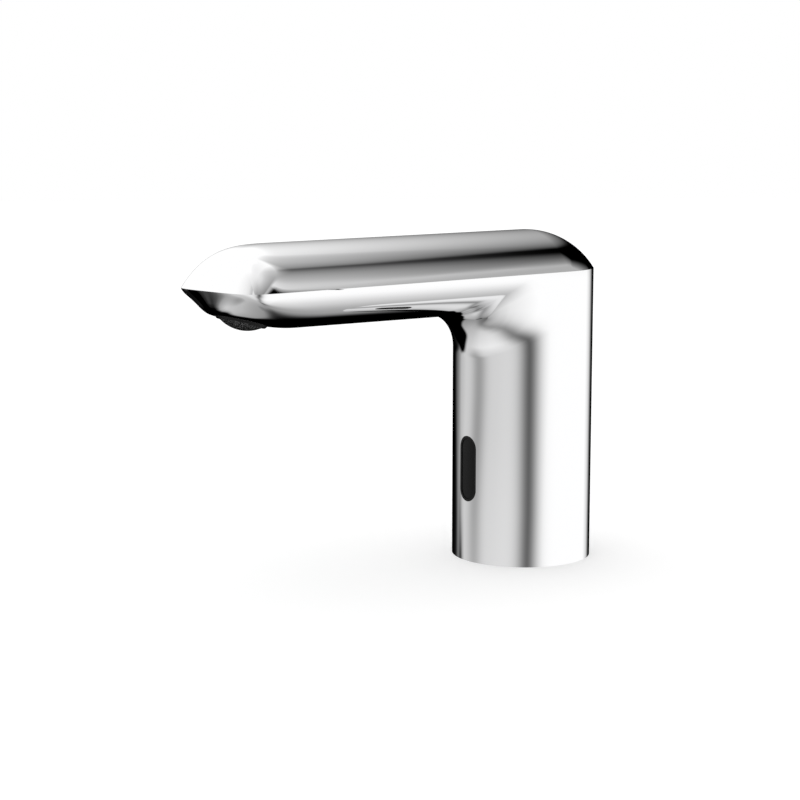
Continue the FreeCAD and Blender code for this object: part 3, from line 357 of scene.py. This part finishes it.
def add_noise(made, scale, low, high, socket="Roughness"):
    """A little procedural variation on one input; in the grid's base colour it paints glints,
    partly the mesh's own pattern.
    """
    tree = made.node_tree
    shader = tree.nodes["Principled BSDF"]
    place = tree.nodes.new("ShaderNodeTexCoord")
    noise = tree.nodes.new("ShaderNodeTexNoise")
    noise.inputs["Scale"].default_value = scale
    spread = tree.nodes.new("ShaderNodeMapRange")
    spread.inputs["To Min"].default_value = low
    spread.inputs["To Max"].default_value = high
    tree.links.new(place.outputs["Object"], noise.inputs["Vector"])
    tree.links.new(noise.outputs["Fac"], spread.inputs["Value"])
    tree.links.new(spread.outputs["Result"], shader.inputs[socket])


# noise: its scale, the lowest and highest value, and the input where that isn't the roughness
FINISHES = {
    "polished_chrome": dict(colour=(0.96, 0.96, 0.965), metallic=1.0, roughness=0.025),
    "black_plastic": dict(colour=(0.006, 0.006, 0.006), ior=1.25, noise=(900, 0.32, 0.42)),
    "window_glass": dict(colour=(0.007, 0.007, 0.007), roughness=0.25, ior=1.2),
    "black_rubber": dict(colour=(0.012, 0.012, 0.012), noise=(700, 0.6, 0.75)),
    "clear_resin": dict(colour=(0.75, 0.78, 0.82), roughness=0.08, coat=0.3),
    "dark_resin": dict(colour=(0.03, 0.02, 0.05), roughness=0.1, coat=0.3),
    "board_green": dict(colour=(0.02, 0.16, 0.07), noise=(500, 0.35, 0.5)),
    "steel": dict(colour=(0.62, 0.62, 0.63), metallic=1.0, noise=(400, 0.22, 0.32)),
    "steel_mesh": dict(colour=(0.55, 0.56, 0.57), metallic=1.0, noise=(2500, 0.3, 0.5)),
    "spring_steel": dict(colour=(0.5, 0.5, 0.52), metallic=1.0, noise=(600, 0.2, 0.3)),
    "cell_steel": dict(colour=(0.10, 0.12, 0.16), metallic=0.6, noise=(300, 0.25, 0.35)),
    "white_plastic": dict(colour=(0.82, 0.82, 0.79), noise=(500, 0.4, 0.5)),
    "grey_plastic": dict(colour=(0.12, 0.125, 0.13), noise=(500, 0.38, 0.5)),
    "brass": dict(colour=(0.80, 0.60, 0.30), metallic=1.0, noise=(350, 0.22, 0.34)),
    "copper": dict(colour=(0.72, 0.30, 0.14), metallic=1.0, noise=(1500, 0.25, 0.4)),
    "water_tube": dict(colour=(0.66, 0.66, 0.68), metallic=1.0, noise=(300, 0.2, 0.28)),
    # grid_plastic: light specks in its base colour are painted glints on the woven mesh, partly
    # its own woven pattern
    "grid_plastic": dict(colour=(0.02, 0.02, 0.02), roughness=0.35, ior=1.25,
                         noise=(2600, -0.34, 0.34, "Base Color")),
}
LOOKS = {name: material(name, **finish) for name, finish in FINISHES.items()}


def dress(obj, slot_name):
    obj.data.materials.clear()
    obj.data.materials.append(LOOKS[slot_name])


# ----------------------------------------------------------------------------- reflection cards
# The chrome's look is what it reflects: a shell of soft white, grey and black cards.  turn is
# the compass angle in degrees, 0 in front of the spout and 90 to its left; side is the same
# angle from -180 to 180; rise is the elevation.  A level is a display brightness from 0 to 1.
# Each list holds a card's edge or level as (angle, value) stops.
CARD_GAIN = 1.04                # makes up for the light that the chrome takes
CARD_STEP = 1.5                 # degrees
SHELL_RADIUS = 12.0             # metres
SHELL_CENTRE = (0, -0.05, 0.07)
OVAL_TURN, OVAL_RISE = 258, -28     # middle of the oval black card
OVAL_HALF_TURN = 37.5
OVAL_POWER = 4                  # between an ellipse and a rectangle
STRIP_SIDE, STRIP_WIDTH, STRIP_DEPTH = -25, 14, 0.20     # soft dark strip of the table
STREAK_POWER = 1.6
OVERHEAD_LEVEL = 0.93           # straight above
BACK_TURN = 180                 # straight behind
WEDGE_TURN = 186                # the wedge shows through the overhead sheet past this angle


def ramp(value, stops):
    return np.interp(value, [s[0] for s in stops], [s[1] for s in stops])


def wedge_level(turn, rise):
    """A black wedge that leans over the back, with a white side and a grey side."""
    white_edge = ramp(rise, [(0, 229), (53, 187), (57, 183)])
    spread = ramp(rise, [(48, 1.0), (58, 1.5)])
    white_side = ramp((turn - white_edge) / spread,
                      [(0, 0.0), (3, 0.29), (6, 0.41), (12, 0.56), (24, 0.79), (36, 1.0)])
    grey_edge = ramp(rise, [(20, 195), (40, 176), (50, 182)])
    spread = ramp(rise, [(42, 1.0), (50, 1.9)])
    grey_side = ramp((grey_edge - turn) / spread,
                     [(0, 0.0), (4, 0.26), (8, 0.42), (14, 0.61), (18, 0.77), (22, 0.84)])
    grey_side = np.minimum(grey_side, ramp(rise, [(44, 0.68), (52, 0.84)]))
    core = ramp(rise, [(50, 0.0), (56, 0.24), (62, 0.40)])
    return core + (1 - core) * np.maximum(white_side, grey_side)


def flag_share(turn, rise):
    """1 on a small black flag beside the wedge."""
    return (ramp(turn, [(90, 0.0), (104, 1.0), (133, 1.0), (136, 0.4), (141, 0.0)])
            * ramp(rise, [(44, 0.0), (46, 1.0), (55.5, 1.0), (58, 0.35), (63, 0.0)]))


def upper_cards(turn, rise):
    """The wedge and the flag between white sides, under an overhead sheet."""
    walls = wedge_level(turn, rise) * (1 - flag_share(turn, rise))
    walls = walls * ramp(turn, [(308, 1.0), (330, 0.93), (341, 0.885), (348, 0.81), (360, 0.74)])
    sheet = ramp(turn, [(0, 0.82), (20, 0.68), (40, 0.56), (75, 0.53), (110, 0.56), (160, 0.66),
                        (180, 0.76), (200, 1.0), (308, 1.0), (331, 0.94), (345, 0.90),
                        (360, 0.82)])
    above = ramp(rise, [(63, 0.0), (70, 0.34), (80, 0.78), (90, 1.0)])
    sheet = mix(sheet, OVERHEAD_LEVEL, above)
    past_wedge = walls * (turn > WEDGE_TURN) * ramp(rise, [(70, 1.0), (80, 0.0)])
    return mix(walls, np.maximum(sheet, past_wedge), ramp(rise, [(60, 0.0), (63, 1.0)]))


def oval_level(turn, rise):
    """0 on an oval black card at the far side, 1 off it and on the strip above it."""
    half_rise = ramp(turn, [(235, 24.0), (265, 19.5)])
    far = (np.abs((turn - OVAL_TURN) / OVAL_HALF_TURN) ** OVAL_POWER
           + np.abs((rise - OVAL_RISE) / half_rise) ** OVAL_POWER) ** (1 / OVAL_POWER)
    hard = ramp(far, [(0.96, 0.0), (1.0, 0.30), (1.08, 0.78), (1.2, 1.0)])
    gentle = ramp(far, [(0.98, 0.0), (1.06, 0.3), (1.16, 0.62), (1.28, 0.84), (1.5, 1.0)])
    level = mix(hard, gentle, ramp(turn, [(232, 1.0), (250, 0.0)]))
    lift = ramp(turn, [(278, 0.0), (288, 4.0), (300, 4.0), (306, 0.0)])
    strip = ramp(rise - lift, [(-19, 0.0), (-16, 0.65), (-12, 1.0)])
    strip = strip * ramp(turn, [(236, 0.0), (246, 1.0)])
    return level + (1 - level) * strip


def front_table(side, rise):
    """The table in front and beside, with a soft dark strip near the horizon."""
    low_down = ramp(side, [(-66, 0.78), (-46, 0.82), (-24, 0.90), (0, 0.93), (40, 0.93),
                           (96, 1.0)])
    lean = ramp(rise, [(-12, 9.0), (-7, 0.0)])
    horizon = ramp(side + lean, [(-90, 0.62), (-55, 0.80), (10, 0.82), (62, 0.88), (96, 1.0)])
    horizon = horizon - STRIP_DEPTH * np.exp(-((side + lean - STRIP_SIDE) / STRIP_WIDTH) ** 2)
    horizon = horizon * ramp(side - lean, [(-101, 0.0), (-95, 0.5), (-89, 1.0)])
    return mix(low_down, horizon, ramp(rise, [(-28, 0.0), (-9, 1.0)]))


def back_table(turn, rise):
    """The table behind, which turns black near the horizon."""
    low_down = ramp(turn, [(120, 1.0), (132, 0.95), (156, 0.86), (180, 0.74), (200, 0.66),
                           (250, 0.62)])
    low_down = low_down + ramp(rise, [(-72, 0.05), (-55, 0.0)])
    horizon = ramp(turn, [(176, 1.0), (183, 0.93), (192, 0.78), (197, 0.5), (205, 0.04),
                          (209, 0.0)])
    return mix(low_down, horizon, ramp(rise, [(-45, 0.0), (-14, 1.0)]))


def streak_level(side, rise):
    """Less than 1 on a soft dark streak that crosses the table."""
    centre = ramp(rise, [(-80, -50), (-70, 10), (-62, 33), (-52, 44), (-30, 50), (-12, 62)])
    width = ramp(rise, [(-80, 70), (-70, 45), (-60, 26), (-50, 18), (-12, 15)])
    strength = ramp(rise, [(-80, 0.25), (-60, 0.30), (-50, 0.36), (-12, 0.58)])
    return 1 - strength * np.exp(-np.abs((side - centre) / width) ** STREAK_POWER)


def lower_cards(turn, rise):
    """A pale table that darkens straight below, with the streak and the oval card."""
    side = np.where(turn > BACK_TURN, turn - 360, turn)
    front, back = front_table(side, rise), back_table(turn, rise)
    joined = mix(front, back, ramp(turn, [(250, 1.0), (290, 0.0)]))
    table = np.where(turn > BACK_TURN, joined, np.minimum(front, back))
    depth = ramp(rise, [(-90, 0.64), (-80, 0.77), (-72, 0.85), (-60, 0.91), (-40, 0.96),
                        (-25, 1.0)])
    return table * oval_level(turn, rise) * depth * streak_level(side, rise)


def card_level(turn, rise):
    """Level of the cards in one direction."""
    return mix(lower_cards(turn, rise), upper_cards(turn, rise), ramp(rise, [(-3, 0.0), (2, 1.0)]))


def linear_light(level):
    """Display brightness to linear light, by the sRGB curve."""
    return np.where(level < 0.04045, level / 12.92, ((level + 0.055) / 1.055) ** 2.4)


def cards_material():
    made = bpy.data.materials.new("cards")
    made.use_nodes = True
    tree = made.node_tree
    tree.nodes.clear()
    out = tree.nodes.new("ShaderNodeOutputMaterial")
    glow = tree.nodes.new("ShaderNodeEmission")
    source = tree.nodes.new("ShaderNodeVertexColor")
    source.layer_name = "level"
    tree.links.new(source.outputs["Color"], glow.inputs["Color"])
    tree.links.new(glow.outputs["Emission"], out.inputs["Surface"])
    return made


def card_shell():
    """The cards on a shell round the set, which only reflections see."""
    turn, rise = np.meshgrid(np.arange(0, 361, CARD_STEP), np.arange(-90, 91, CARD_STEP))
    a, e = np.radians(turn), np.radians(rise)
    points = np.stack([np.sin(a) * np.cos(e), -np.cos(a) * np.cos(e), np.sin(e)], 2)
    rows, columns = turn.shape
    corners = [i * columns + j for i in range(rows - 1) for j in range(columns - 1)]
    faces = [(a, a + 1, a + columns + 1, a + columns) for a in corners]
    mesh = bpy.data.meshes.new("card_shell")
    mesh.from_pydata([tuple(p) for p in (points * SHELL_RADIUS).reshape(-1, 3)], [], faces)
    light = linear_light(np.clip(card_level(turn, rise), 0, 1).reshape(-1)) * CARD_GAIN
    colours = np.ones((len(light), 4))
    colours[:, :3] = light[:, None]
    layer = mesh.color_attributes.new("level", "FLOAT_COLOR", "POINT")
    layer.data.foreach_set("color", colours.reshape(-1))
    mesh.materials.append(cards_material())
    shell = bpy.data.objects.new("card_shell", mesh)
    bpy.context.collection.objects.link(shell)
    shell.location = SHELL_CENTRE
    shell.visible_camera = False
    shell.visible_diffuse = False
    shell.visible_shadow = False
    shell.visible_transmission = False
    shell.visible_volume_scatter = False


# -------------------------------------------------------------------- world, floor and camera
FLOOR_SIZE = 30.0               # metres
FLOOR_GREY = 0.93
FLOOR_ROUGHNESS = 0.9
FLOOR_LIFT = 0.17               # glow that only the camera sees
CAMERA_PLACE = (0.4487, -0.3824, 0.13687)     # metres
CAMERA_TURN = 0.0777            # radians, aim left of the column's axis
CAMERA_FALL = 0.1333            # radians, aim under the horizon
SENSOR_WIDTH = 36.0
FOCAL_SHARE = 1578.57 / 800     # focal length over picture width
CLIP_START, CLIP_END = 0.01, 100


def white_world():
    world = bpy.data.worlds.new("studio")
    bpy.context.scene.world = world
    world.use_nodes = True
    background = world.node_tree.nodes["Background"]
    background.inputs["Color"].default_value = (1, 1, 1, 1)
    background.inputs["Strength"].default_value = 1.0


def pale_floor():
    bpy.ops.mesh.primitive_plane_add(size=FLOOR_SIZE, location=(0, 0, 0))
    floor = bpy.context.object
    floor.name = "floor"
    made = bpy.data.materials.new("pale_floor")
    made.use_nodes = True
    tree = made.node_tree
    shader = tree.nodes["Principled BSDF"]
    shader.inputs["Base Color"].default_value = (FLOOR_GREY, FLOOR_GREY, FLOOR_GREY, 1)
    shader.inputs["Roughness"].default_value = FLOOR_ROUGHNESS
    shader.inputs["Specular IOR Level"].default_value = 0.0
    shader.inputs["Emission Color"].default_value = (1, 1, 1, 1)
    path = tree.nodes.new("ShaderNodeLightPath")
    lift = tree.nodes.new("ShaderNodeMath")
    lift.operation = "MULTIPLY"
    lift.inputs[1].default_value = FLOOR_LIFT
    tree.links.new(path.outputs["Is Camera Ray"], lift.inputs[0])
    tree.links.new(lift.outputs["Value"], shader.inputs["Emission Strength"])
    floor.data.materials.append(made)
    floor.visible_glossy = False


def photo_camera():
    data = bpy.data.cameras.new("camera")
    data.sensor_width = SENSOR_WIDTH
    data.lens = SENSOR_WIDTH * FOCAL_SHARE
    data.clip_start, data.clip_end = CLIP_START, CLIP_END
    cam = bpy.data.objects.new("camera", data)
    bpy.context.collection.objects.link(cam)
    place = Vector(CAMERA_PLACE)
    # the heading towards the axis, turned by CAMERA_TURN about +Z
    heading = math.atan2(-place.x, place.y) + CAMERA_TURN
    ahead = Vector((math.sin(heading) * math.cos(CAMERA_FALL),
                    -math.cos(heading) * math.cos(CAMERA_FALL),
                    -math.sin(CAMERA_FALL)))
    cam.location = place
    cam.rotation_mode = "QUATERNION"
    cam.rotation_quaternion = ahead.to_track_quat("-Z", "Y")
    bpy.context.scene.camera = cam


# --------------------------------------------------------------------------------------- build
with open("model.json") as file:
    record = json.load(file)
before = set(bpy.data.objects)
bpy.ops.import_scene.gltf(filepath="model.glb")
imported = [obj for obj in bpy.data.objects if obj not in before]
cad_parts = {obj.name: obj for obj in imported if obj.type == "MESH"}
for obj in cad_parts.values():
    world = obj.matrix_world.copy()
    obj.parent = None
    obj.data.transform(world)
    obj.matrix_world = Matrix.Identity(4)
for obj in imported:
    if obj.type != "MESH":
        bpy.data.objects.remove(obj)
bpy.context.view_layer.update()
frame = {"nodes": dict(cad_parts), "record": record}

for entry in frame["record"]["subparts"]:
    dress(frame["nodes"][entry["node"]], entry["material_slot"])

casting = casting_mesh()
slot = slot_solid("slot", WINDOW_HALF_WIDTH, WINDOW_HALF_LENGTH, (CUT_START_Y, WINDOW_INNER_Y),
                  WINDOW_Z)
carve(casting, [column_hollow(), outlet_recess(), slot])
casting.data.shade_smooth()
casting.data.set_sharp_from_angle(angle=math.radians(SHARP_ANGLE))
dress(casting, "polished_chrome")
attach(casting, "tap")
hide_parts("body_casting")

white_world()
pale_floor()
card_shell()
photo_camera()
bpy.context.scene.view_settings.view_transform = "Standard"
